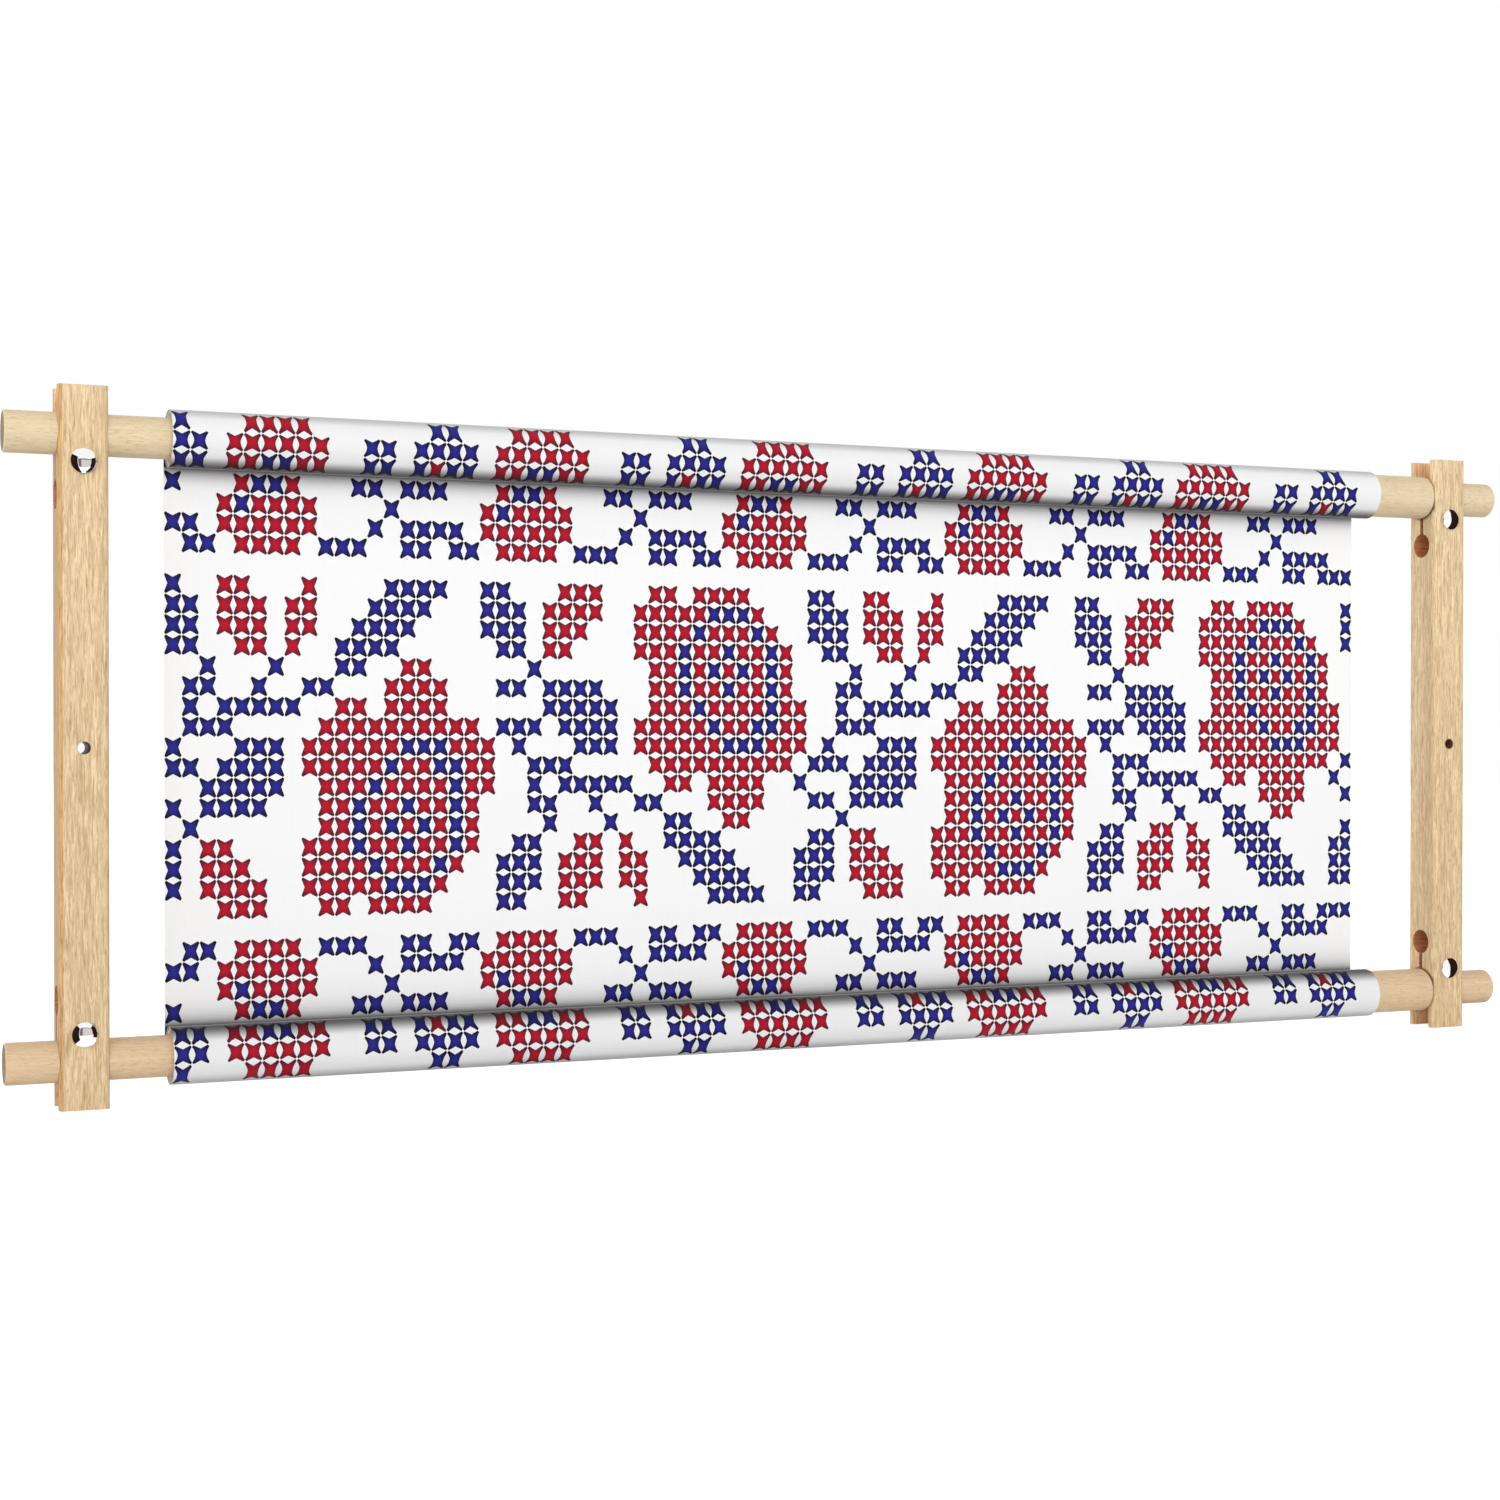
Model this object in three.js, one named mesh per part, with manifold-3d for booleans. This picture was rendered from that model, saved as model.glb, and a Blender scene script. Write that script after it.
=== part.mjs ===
// Embroidery scroll frame: two beech side bars carry two rollers, and a stitched cloth is
// wound on both rollers and held flat between them. Millimetres, +Z up, X along the rollers,
// the worked face of the cloth towards -Y. The frame stands on the ends of its side bars.
import * as THREE from "three";
import { mergeVertices } from "three/addons/utils/BufferGeometryUtils.js";
import Module from "manifold-3d";

const wasm = await Module();
wasm.setup();

// Side bars
const barLength = 300;
const barWidth = 20.5;
const barThickness = 20;
const barEdgeRadius = 1.8;
const centreHoleDiameter = 5.3;

// Clamp at each bar end: an open slot, the roller's hole, a slit and its relief hole
const rollerInset = 19.5;
const endSlotWidth = 13;
const slitWidth = 2.7;
const reliefHoleDiameter = 12.5;
const reliefHoleInset = 44.9;

// Rollers
const journalDiameter = 17.6;
const journalClearance = 0.2;
const rollerBodyDiameter = 22;
const rollerStub = 21;
const rollerEndEasing = 0.8;
const shoulderEasing = 0.6;
const shoulderGap = 0.3;

// Cloth
const clothWidth = 618;
const leftHandGap = 25.75;
const rightHandGap = 35.75;
const clothThickness = 0.4;
const layerGap = 0.3;
const clothRollTurns = 1;
const shoulderUnderCloth = 6;
const panelGap = 0.3;
const tapeThickness = 0.35;
const tapeWidth = 11;
const tapeMargin = 4;

// Clamp bolts, washers and wing nuts
const boltInset = 31.4;
const shankDiameter = 4;
const shankClearance = 0.25;
const headDiameter = 10.6;
const headHeight = 3.7;
const headRim = 0.7;
const neckSide = 4;
const neckDepth = 2.4;
const boltTipChamfer = 0.5;
const boltPastNut = 1.6;
const seatGap = 0.1;
const washerDiameter = 9;
const washerThickness = 0.8;
const nutBossDiameter = 8.4;
const nutTopDiameter = 7;
const nutHeight = 4.8;
const wingSpan = 20;
const wingHeight = 9.6;
const wingThickness = 2;
const wingTipRadius = 2.3;
const wingFoot = 1.1;
const wingRoot = 2.9;

// How finely round shapes are cut, and one overrun for every cut
const holeSides = 32;
const rollerSides = 48;
const hardwareSides = 24;
const domeRings = 6;
const easingSteps = 4;
const spiralStepsPerTurn = 32;
const cutOverrun = 2;

// Places worked out from the sizes above
const barHalfWidth = barWidth / 2;
const barHalfThickness = barThickness / 2;
const barX = (leftHandGap + clothWidth + rightHandGap) / 2 + barHalfWidth;
const lowerAxisZ = rollerInset;
const upperAxisZ = barLength - rollerInset;
const clothLeft = leftHandGap + barHalfWidth - barX;
const rollerHalfLength = barX + barHalfWidth + rollerStub;
const bodyLeft = clothLeft + shoulderUnderCloth;
const bodyRight = barX - barHalfWidth - shoulderGap;
const layerPitch = clothThickness + layerGap;
const rollInnerRadius = rollerBodyDiameter / 2 + layerGap;
const rollOuterRadius = rollInnerRadius + layerPitch * clothRollTurns + clothThickness;
const headSeat = barHalfThickness + seatGap;
const washerSeat = barHalfThickness + seatGap;
const nutSeat = washerSeat + washerThickness + seatGap;
const boltTip = nutSeat + nutHeight + boltPastNut;
const frontReach = headSeat + headHeight;
const backReach = nutSeat + wingHeight;
const depthShift = (frontReach - backReach) / 2;

// Materials
const beech = new THREE.Color(0.8, 0.64, 0.4);
const steel = new THREE.Color(0.78, 0.78, 0.8);
const white = new THREE.Color(0.93, 0.93, 0.93);
const ecru = new THREE.Color(0.82, 0.76, 0.62);
const finish = (color, roughness, metalness) =>
  new THREE.MeshStandardMaterial({ color, roughness, metalness });

// Solids from closed geometries, and back to a geometry for a mesh
function solidOf(geometry) {
  const bare = geometry.index ? geometry.toNonIndexed() : geometry.clone();
  bare.deleteAttribute("normal");
  bare.deleteAttribute("uv");
  const merged = mergeVertices(bare);
  return new wasm.Manifold(
    new wasm.Mesh({
      numProp: 3,
      vertProperties: merged.attributes.position.array,
      triVerts: new Uint32Array(merged.index.array),
    }),
  );
}

function geometryOf(solid) {
  const { vertProperties, triVerts } = solid.getMesh();
  const geometry = new THREE.BufferGeometry();
  geometry.setAttribute("position", new THREE.BufferAttribute(vertProperties, 3));
  geometry.setIndex(new THREE.BufferAttribute(triVerts, 1));
  return geometry.toNonIndexed();
}

const cut = (solid, tools) => tools.reduce((left, tool) => left.subtract(tool), solid);
const joined = (solids) => solids.reduce((sum, next) => sum.add(next));

// A box between two corners
function block(low, high) {
  const size = high.map((value, axis) => value - low[axis]);
  const middle = high.map((value, axis) => (value + low[axis]) / 2);
  return new THREE.BoxGeometry(...size).translate(...middle);
}

// A round drill along X or Y, through a point, with half its length to each side
function drillX(diameter, halfLength, y, z) {
  const drill = new THREE.CylinderGeometry(diameter / 2, diameter / 2, 2 * halfLength, holeSides);
  return solidOf(drill.rotateZ(-Math.PI / 2).translate(0, y, z));
}

function drillY(diameter, halfLength, x, z) {
  const drill = new THREE.CylinderGeometry(
    diameter / 2,
    diameter / 2,
    2 * halfLength,
    hardwareSides,
  );
  return solidOf(drill.translate(x, 0, z));
}

// A profile of [radius, height] pairs, from low to high along the outside, turned about Y
function turned(profile, sides) {
  const points = profile.map(([radius, height]) => new THREE.Vector2(radius, height));
  return new THREE.LatheGeometry(points, sides);
}

// A flat ring's or sleeve's closed profile, turned about Y
function ring(inner, outerLow, outerHigh, low, high, sides) {
  const profile = [
    [inner, low],
    [outerLow, low],
    [outerHigh, high],
    [inner, high],
    [inner, low],
  ];
  return turned(profile, sides);
}

// An outline drawn in Y and Z, drawn out along X from one place to another
function drawnAlongX(outline, from, to) {
  const geometry = new THREE.ExtrudeGeometry(new THREE.Shape(outline), {
    depth: to - from,
    bevelEnabled: false,
  });
  const turn = new THREE.Matrix4().makeBasis(
    new THREE.Vector3(0, 1, 0),
    new THREE.Vector3(0, 0, 1),
    new THREE.Vector3(1, 0, 0),
  );
  return geometry.applyMatrix4(turn).translate(from, 0, 0);
}

// Side bar, upright, with its foot at z = 0 and its middle on x = 0, y = 0
function sideBarBlank() {
  const x = barHalfWidth;
  const y = barHalfThickness;
  const r = barEdgeRadius;
  const outline = new THREE.Shape();
  outline.moveTo(-x + r, -y);
  outline.lineTo(x - r, -y);
  outline.absarc(x - r, -y + r, r, -Math.PI / 2, 0);
  outline.absarc(x - r, y - r, r, 0, Math.PI / 2);
  outline.absarc(-x + r, y - r, r, Math.PI / 2, Math.PI);
  outline.absarc(-x + r, -y + r, r, Math.PI, Math.PI * 1.5);
  return new THREE.ExtrudeGeometry(outline, {
    depth: barLength,
    bevelEnabled: false,
    curveSegments: easingSteps,
  });
}

function clampCuts(atTop) {
  const place = (inset) => (atTop ? barLength - inset : inset);
  const slab = (halfWidth, insetA, insetB) => {
    const [low, high] = [place(insetA), place(insetB)].sort((a, b) => a - b);
    const reach = barHalfWidth + cutOverrun;
    return solidOf(block([-reach, -halfWidth, low], [reach, halfWidth, high]));
  };
  const through = barHalfWidth + cutOverrun;
  const neckHalf = neckSide / 2 + shankClearance;
  const neckFloor = -barHalfThickness + neckDepth + shankClearance;
  return [
    drillX(journalDiameter + 2 * journalClearance, through, 0, place(rollerInset)),
    slab(endSlotWidth / 2, -cutOverrun, rollerInset),
    slab(slitWidth / 2, rollerInset, reliefHoleInset),
    drillX(reliefHoleDiameter, through, 0, place(reliefHoleInset)),
    drillY(
      shankDiameter + 2 * shankClearance,
      barHalfThickness + cutOverrun,
      0,
      place(boltInset),
    ),
    solidOf(
      block(
        [-neckHalf, -barHalfThickness - cutOverrun, place(boltInset) - neckHalf],
        [neckHalf, neckFloor, place(boltInset) + neckHalf],
      ),
    ),
  ];
}

function sideBar() {
  const centreHole = drillY(
    centreHoleDiameter,
    barHalfThickness + cutOverrun,
    0,
    barLength / 2,
  );
  const cuts = [centreHole, ...clampCuts(true), ...clampCuts(false)];
  return geometryOf(cut(solidOf(sideBarBlank()), cuts));
}

// Roller, turned about X: a thick body between two thin journals with eased ends
function roller() {
  const journal = journalDiameter / 2;
  const body = rollerBodyDiameter / 2;
  const end = rollerHalfLength;
  const profile = [
    [0, -end],
    [journal - rollerEndEasing, -end],
    [journal, -end + rollerEndEasing],
    [journal, bodyLeft],
    [body - shoulderEasing, bodyLeft],
    [body, bodyLeft + shoulderEasing],
    [body, bodyRight - shoulderEasing],
    [body - shoulderEasing, bodyRight],
    [journal, bodyRight],
    [journal, end - rollerEndEasing],
    [journal - rollerEndEasing, end],
    [0, end],
  ];
  return turned(profile, rollerSides).rotateZ(-Math.PI / 2);
}

// Cloth wound on a roller, as one spiral sheet. Its outer end is at the back of the roller,
// and from there it passes over the side away from the frame's middle (side 1 up, -1 down).
function clothRoll(side) {
  const steps = clothRollTurns * spiralStepsPerTurn;
  const onSpiral = (step, radius) => {
    const angle = (2 * Math.PI * step) / spiralStepsPerTurn;
    const r = radius - (layerPitch * step) / spiralStepsPerTurn;
    return new THREE.Vector2(r * Math.cos(angle), side * r * Math.sin(angle));
  };
  const stepList = Array.from({ length: steps + 1 }, (_, step) => step);
  const outside = stepList.map((step) => onSpiral(step, rollOuterRadius));
  const inside = stepList.map((step) => onSpiral(step, rollOuterRadius - clothThickness));
  const outline = [...outside, ...inside.reverse()];
  return drawnAlongX(outline, clothLeft, clothLeft + clothWidth);
}

// Webbing tape glued along the roller, where the cloth's inner end is sewn on
function webbingTape(side) {
  const reachAngle = tapeWidth / rollInnerRadius;
  const startAngle = layerGap / rollInnerRadius;
  const steps = Math.ceil((reachAngle * spiralStepsPerTurn) / (2 * Math.PI));
  const onTape = (step, radius) => {
    const angle = startAngle + (reachAngle * step) / steps;
    return new THREE.Vector2(radius * Math.cos(angle), side * radius * Math.sin(angle));
  };
  const stepList = Array.from({ length: steps + 1 }, (_, step) => step);
  const outside = stepList.map((step) => onTape(step, rollInnerRadius + tapeThickness));
  const inside = stepList.map((step) => onTape(step, rollInnerRadius));
  const outline = [...outside, ...inside.reverse()];
  return drawnAlongX(outline, bodyLeft + tapeMargin, clothLeft + clothWidth - tapeMargin);
}

// Flat part of the cloth, which leaves both rolls at their backs
function clothPanel() {
  const front = rollOuterRadius + panelGap;
  return block(
    [clothLeft, front, lowerAxisZ],
    [clothLeft + clothWidth, front + clothThickness, upperAxisZ],
  );
}

// Clamp bolt along Y: a domed head in front, a square neck sunk in the wood, a plain shank
function clampBolt() {
  const head = headDiameter / 2;
  const shank = shankDiameter / 2;
  const cap = headHeight - headRim;
  const sphere = (head * head + cap * cap) / (2 * cap);
  const widest = Math.asin(head / sphere);
  const dome = Array.from({ length: domeRings }, (_, ring) => {
    const angle = (widest * ring) / domeRings;
    return [sphere * Math.sin(angle), -frontReach + sphere * (1 - Math.cos(angle))];
  });
  const profile = [
    ...dome,
    [head, -headSeat - headRim],
    [head, -headSeat],
    [shank, -headSeat],
    [shank, boltTip - boltTipChamfer],
    [shank - boltTipChamfer, boltTip],
    [0, boltTip],
  ];
  const half = neckSide / 2;
  const neck = block(
    [-half, -headSeat - headRim / 2, -half],
    [half, -barHalfThickness + neckDepth, half],
  );
  return geometryOf(joined([solidOf(turned(profile, hardwareSides)), solidOf(neck)]));
}

function washer() {
  const inner = shankDiameter / 2 + shankClearance;
  const outer = washerDiameter / 2;
  return ring(inner, outer, outer, washerSeat, washerSeat + washerThickness, hardwareSides);
}

// Wing nut along Y, with its wings upright
function wing() {
  const tipU = wingSpan / 2 - wingTipRadius;
  const tipV = wingHeight - wingTipRadius;
  const outline = new THREE.Shape();
  outline.moveTo(wingRoot, wingFoot);
  outline.lineTo(nutBossDiameter / 2, wingFoot);
  outline.quadraticCurveTo(wingSpan / 2, wingFoot, wingSpan / 2, tipV);
  outline.absarc(tipU, tipV, wingTipRadius, 0, Math.PI * 0.9);
  outline.quadraticCurveTo(nutTopDiameter / 2, nutHeight, wingRoot, nutHeight - wingFoot / 2);
  return new THREE.ExtrudeGeometry(outline, {
    depth: wingThickness,
    bevelEnabled: false,
    curveSegments: domeRings,
  })
    .translate(0, nutSeat, -wingThickness / 2)
    .rotateY(-Math.PI / 2);
}

function wingNut() {
  const inner = shankDiameter / 2 + shankClearance;
  const boss = ring(
    inner,
    nutBossDiameter / 2,
    nutTopDiameter / 2,
    nutSeat,
    nutSeat + nutHeight,
    hardwareSides,
  );
  const wings = [wing(), wing().rotateY(Math.PI)];
  return geometryOf(joined([boss, ...wings].map(solidOf)));
}

// The assembly
function named(name, geometry, material) {
  const mesh = new THREE.Mesh(geometry, material);
  mesh.name = name;
  return mesh;
}

const frame = new THREE.Group();
frame.position.set(0, depthShift, 0);

for (const [sideName, x] of [
  ["left", -barX],
  ["right", barX],
]) {
  const barGroup = new THREE.Group();
  barGroup.position.set(x, 0, 0);
  barGroup.add(named(`${sideName}_side_bar`, sideBar(), finish(beech, 0.5, 0)));
  for (const [endName, z] of [
    ["upper", barLength - boltInset],
    ["lower", boltInset],
  ]) {
    const clamp = new THREE.Group();
    clamp.position.set(0, 0, z);
    const place = `${endName}_${sideName}`;
    clamp.add(named(`${place}_clamp_bolt`, clampBolt(), finish(steel, 0.08, 1)));
    clamp.add(named(`${place}_washer`, washer(), finish(steel, 0.3, 1)));
    clamp.add(named(`${place}_wing_nut`, wingNut(), finish(steel, 0.3, 1)));
    barGroup.add(clamp);
  }
  frame.add(barGroup);
}

for (const [endName, z, side] of [
  ["upper", upperAxisZ, 1],
  ["lower", lowerAxisZ, -1],
]) {
  const rollerGroup = new THREE.Group();
  rollerGroup.position.set(0, 0, z);
  rollerGroup.add(named(`${endName}_roller`, roller(), finish(beech, 0.5, 0)));
  rollerGroup.add(named(`${endName}_cloth_roll`, clothRoll(side), finish(white, 0.9, 0)));
  rollerGroup.add(named(`${endName}_webbing_tape`, webbingTape(side), finish(ecru, 0.9, 0)));
  frame.add(rollerGroup);
}

frame.add(named("cloth_panel", clothPanel(), finish(white, 0.9, 0)));

const part = new THREE.Group();
part.add(frame);

export default part;
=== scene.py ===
"""Looks of the embroidery scroll frame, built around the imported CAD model, in metres."""
import math

import bmesh
import bpy
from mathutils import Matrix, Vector


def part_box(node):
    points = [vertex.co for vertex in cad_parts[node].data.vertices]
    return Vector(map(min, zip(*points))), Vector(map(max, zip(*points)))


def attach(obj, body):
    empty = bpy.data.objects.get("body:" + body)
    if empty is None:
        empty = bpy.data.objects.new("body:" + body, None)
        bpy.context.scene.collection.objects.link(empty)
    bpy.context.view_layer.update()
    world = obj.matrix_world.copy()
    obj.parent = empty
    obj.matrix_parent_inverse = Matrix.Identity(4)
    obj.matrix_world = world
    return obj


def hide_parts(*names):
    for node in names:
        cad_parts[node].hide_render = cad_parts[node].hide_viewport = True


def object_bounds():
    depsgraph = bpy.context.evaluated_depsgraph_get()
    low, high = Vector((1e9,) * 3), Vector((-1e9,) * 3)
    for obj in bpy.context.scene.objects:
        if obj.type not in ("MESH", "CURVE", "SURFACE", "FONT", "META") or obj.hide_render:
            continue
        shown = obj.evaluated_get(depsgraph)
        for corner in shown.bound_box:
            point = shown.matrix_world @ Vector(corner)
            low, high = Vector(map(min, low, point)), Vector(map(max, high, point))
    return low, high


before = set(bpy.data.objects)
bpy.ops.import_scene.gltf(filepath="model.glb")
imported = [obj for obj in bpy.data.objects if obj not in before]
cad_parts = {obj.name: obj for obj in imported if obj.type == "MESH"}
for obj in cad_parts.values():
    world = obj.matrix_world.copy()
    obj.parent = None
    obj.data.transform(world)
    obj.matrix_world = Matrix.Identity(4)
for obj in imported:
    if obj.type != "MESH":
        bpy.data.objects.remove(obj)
cad_low, cad_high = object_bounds()
scene = bpy.context.scene
scene.view_settings.view_transform = "Standard"

MM = 0.001
SIDES = ("left", "right")
ENDS = ("upper", "lower")

# Camera, at the photograph's viewing angle. The shift is 2 of the photograph's 1500 pixels.
CAMERA_YAW = 22.91
CAMERA_PITCH = -0.494
camera_data = bpy.data.cameras.new("camera")
camera_data.sensor_width = 36
camera_data.lens = 56.34
camera_data.shift_x = -2 / 1500
camera_data.clip_start = 0.02
camera = bpy.data.objects.new("camera", camera_data)
camera.location = (-0.4734, -1.0141, 0.1575)
camera.rotation_euler = (math.radians(90 + CAMERA_PITCH), 0, math.radians(-CAMERA_YAW))
scene.collection.objects.link(camera)
scene.camera = camera


# Sizes and places from the CAD model
def middle(node, axis):
    """The middle of a CAD node's box along x, y or z."""
    return sum(getattr(corner, axis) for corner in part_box(node)) / 2


BAR_LOW, BAR_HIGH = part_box("left_side_bar")
BAR_HALF_WIDTH = (BAR_HIGH.x - BAR_LOW.x) / 2
BAR_HALF_DEPTH = (BAR_HIGH.y - BAR_LOW.y) / 2
BAR_LENGTH = BAR_HIGH.z - BAR_LOW.z
BAR_X = {side: middle(f"{side}_side_bar", "x") for side in SIDES}
AXIS_Y = middle("left_side_bar", "y")
ROLLER_LOW, ROLLER_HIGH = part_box("lower_roller")
AXIS_Z = {end: middle(f"{end}_roller", "z") for end in ENDS}
MIDDLE_Z = (AXIS_Z["upper"] + AXIS_Z["lower"]) / 2
CLOTH_LOW, CLOTH_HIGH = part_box("cloth_panel")
CLOTH_WIDTH = CLOTH_HIGH.x - CLOTH_LOW.x
BOLT_Z = {end: middle(f"{end}_left_clamp_bolt", "z") for end in ENDS}
BOLT_LOW, BOLT_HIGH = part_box("upper_left_clamp_bolt")
WASHER_LOW, WASHER_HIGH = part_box("upper_left_washer")
NUT_LOW, NUT_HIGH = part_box("upper_left_wing_nut")


# Meshes
def add_object(name, mesh):
    obj = bpy.data.objects.new(name, mesh)
    scene.collection.objects.link(obj)
    return obj


def mesh_of(name, verts, faces):
    mesh = bpy.data.meshes.new(name)
    mesh.from_pydata(verts, [], faces)
    mesh.validate()
    return mesh


def outward(mesh):
    """Turns every face of a closed mesh to the outside."""
    bm = bmesh.new()
    bm.from_mesh(mesh)
    bmesh.ops.recalc_face_normals(bm, faces=bm.faces)
    bm.to_mesh(mesh)
    bm.free()
    return mesh


def dress(mesh, angle, *materials):
    """Adds materials, and shades a mesh smooth but for edges of more than an angle."""
    for material in materials:
        mesh.materials.append(material)
    mesh.shade_smooth()
    mesh.set_sharp_from_angle(angle=math.radians(angle))


def add_values(mesh, name, values):
    """A named number for each vertex, for a material to read."""
    mesh.attributes.new(name, "FLOAT", "POINT").data.foreach_set("value", values)


def add_uvs(mesh, name, uvs):
    """A UV map from a pair for each vertex."""
    layer = mesh.uv_layers.new(name=name)
    for loop in mesh.loops:
        layer.data[loop.index].uv = uvs[loop.vertex_index]


def modify(obj, kind, **settings):
    """Puts the result of a modifier into the object's mesh."""
    modifier = obj.modifiers.new(kind.lower(), kind)
    for key, value in settings.items():
        setattr(modifier, key, value)
    depsgraph = bpy.context.evaluated_depsgraph_get()
    mesh = bpy.data.meshes.new_from_object(obj.evaluated_get(depsgraph))
    old = obj.data
    obj.modifiers.clear()
    obj.data = mesh
    bpy.data.meshes.remove(old)


def boolean(obj, tool, operation):
    modify(obj, "BOOLEAN", solver="EXACT", operation=operation, object=tool)
    bpy.data.objects.remove(tool)


def bevel(obj, angle, **settings):
    """Rounds the edges where faces meet at more than an angle."""
    modify(obj, "BEVEL", limit_method="ANGLE", angle_limit=math.radians(angle), **settings)


def axis_point(axis, along, a, b):
    """A point from its place along X, Y or Z and its two other coordinates in order."""
    return {"X": (along, a, b), "Y": (a, along, b), "Z": (a, b, along)}[axis]


def prism(name, outline, axis, low, high):
    """An outline of pairs, drawn out along an axis into a closed solid."""
    count = len(outline)
    verts = [axis_point(axis, place, a, b) for place in (low, high) for a, b in outline]
    faces = [(i, (i + 1) % count, count + (i + 1) % count, count + i) for i in range(count)]
    faces += [tuple(range(count)), tuple(range(count, 2 * count))]
    return add_object(name, outward(mesh_of(name, verts, faces)))


def arc(a, b, radius, start, end, steps):
    """Points on a circle between two angles in degrees."""
    turns = [math.radians(start + (end - start) * i / steps) for i in range(steps + 1)]
    return [(a + radius * math.cos(turn), b + radius * math.sin(turn)) for turn in turns]


def round_corner(radius, along, size, steps, to_end):
    """An eased corner of a lathe profile, from the side to an end face that looks along the
    axis for to_end 1, and back for -1."""
    turns = [math.pi / 2 * i / steps for i in range(steps + 1)]
    return [
        (radius - size * (1 - math.cos(turn)), along - to_end * size * (1 - math.sin(turn)))
        for turn in turns
    ]


def lathe(name, profile, axis, centre, sides, closed=False, shape=None):
    """A profile of (radius, along) pairs turned about an axis. shape may change a radius."""
    verts, rings = [], []
    for radius, along in profile:
        if radius == 0:
            rings.append([len(verts)])
            verts.append(axis_point(axis, along, *centre))
            continue
        rings.append(list(range(len(verts), len(verts) + sides)))
        for i in range(sides):
            turn = 2 * math.pi * i / sides
            r = shape(radius, along, turn) if shape else radius
            a = centre[0] + r * math.cos(turn)
            b = centre[1] + r * math.sin(turn)
            verts.append(axis_point(axis, along, a, b))
    pairs = list(zip(rings, rings[1:]))
    if closed:
        pairs.append((rings[-1], rings[0]))
    faces = []
    for first, second in pairs:
        for i in range(sides):
            j = (i + 1) % sides
            if len(first) == 1:
                faces.append((first[0], second[i], second[j]))
            elif len(second) == 1:
                faces.append((first[i], first[j], second[0]))
            else:
                faces.append((first[i], first[j], second[j], second[i]))
    return add_object(name, outward(mesh_of(name, verts, faces)))


# Materials
class Graph:
    """A node tree and short ways to add its nodes."""

    def __init__(self, tree):
        self.nodes, self.links = tree.nodes, tree.links

    def put(self, socket, value):
        if isinstance(value, bpy.types.NodeSocket):
            self.links.new(value, socket)
        else:
            socket.default_value = value

    def fill(self, node, inputs):
        """Sets or links inputs of a node by their names, with _ for a space."""
        for key, value in inputs.items():
            self.put(node.inputs[key.replace("_", " ")], value)
        return node

    def node(self, kind, **inputs):
        return self.fill(self.nodes.new(kind), inputs)

    def math(self, operation, a, b=0.0, c=0.0):
        node = self.nodes.new("ShaderNodeMath")
        node.operation = operation
        for socket, value in zip(node.inputs, (a, b, c)):
            self.put(socket, value)
        return node.outputs[0]

    def split(self, vector):
        return self.node("ShaderNodeSeparateXYZ", Vector=vector).outputs

    def by_ray(self, hidden, shown):
        """One shader for what the camera and mirrors see, and another for all other rays."""
        rays = self.node("ShaderNodeLightPath").outputs
        seen = self.math("MAXIMUM", rays["Is Camera Ray"], rays["Is Glossy Ray"])
        mixed = self.node("ShaderNodeMixShader", Fac=seen)
        self.links.new(hidden, mixed.inputs[1])
        self.links.new(shown, mixed.inputs[2])
        return mixed.outputs[0]


class Shade(Graph):
    """A material and short ways to shade it."""

    def __init__(self, name, **inputs):
        self.material = bpy.data.materials.new(name)
        self.material.use_nodes = True
        super().__init__(self.material.node_tree)
        self.shader = self.fill(self.nodes["Principled BSDF"], inputs)

    def done(self, **inputs):
        """Sets or links the last inputs of the shader."""
        self.fill(self.shader, inputs)
        return self.material

    def place(self, scale=(1, 1, 1), source="Object"):
        """Coordinates in metres, times a scale."""
        coordinate = self.node("ShaderNodeTexCoord").outputs[source]
        return self.node("ShaderNodeMapping", Vector=coordinate, Scale=scale).outputs["Vector"]

    def noise(self, scale, source="Object", **inputs):
        vector = self.place(scale, source)
        return self.node("ShaderNodeTexNoise", Vector=vector, Scale=1.0, **inputs).outputs["Fac"]

    def ramp(self, value, start, end, first=0.0, last=1.0):
        """Grey that goes from first to last while a value goes from start to end."""
        node = self.node("ShaderNodeValToRGB", Fac=value)
        stops = ((start, first), (end, last))
        for element, (place, grey) in zip(node.color_ramp.elements, stops):
            element.position = place
            element.color = (grey, grey, grey, 1)
        return node.outputs["Color"]

    def mix(self, factor, a, b):
        node = self.nodes.new("ShaderNodeMix")
        node.data_type = "RGBA"
        self.put(node.inputs["Factor"], factor)
        for socket, value in ((node.inputs[6], a), (node.inputs[7], b)):
            self.put(socket, (*value, 1) if isinstance(value, tuple) else value)
        return node.outputs[2]

    def tint(self, below, colour, amount, value, *ends):
        """Lays a colour over another, by an amount of the ramp of a value."""
        return self.mix(self.math("MULTIPLY", self.ramp(value, *ends), amount), below, colour)

    def attribute(self, name):
        node = self.nodes.new("ShaderNodeAttribute")
        node.attribute_name = name
        return node.outputs["Fac"]

    def bump(self, **inputs):
        return self.node("ShaderNodeBump", **inputs).outputs["Normal"]


def dimmed(colour, share):
    return tuple(c * share for c in colour)


STREAK_SHARES = (0.66, 0.56, 0.45)
MATT = 0.12


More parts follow.
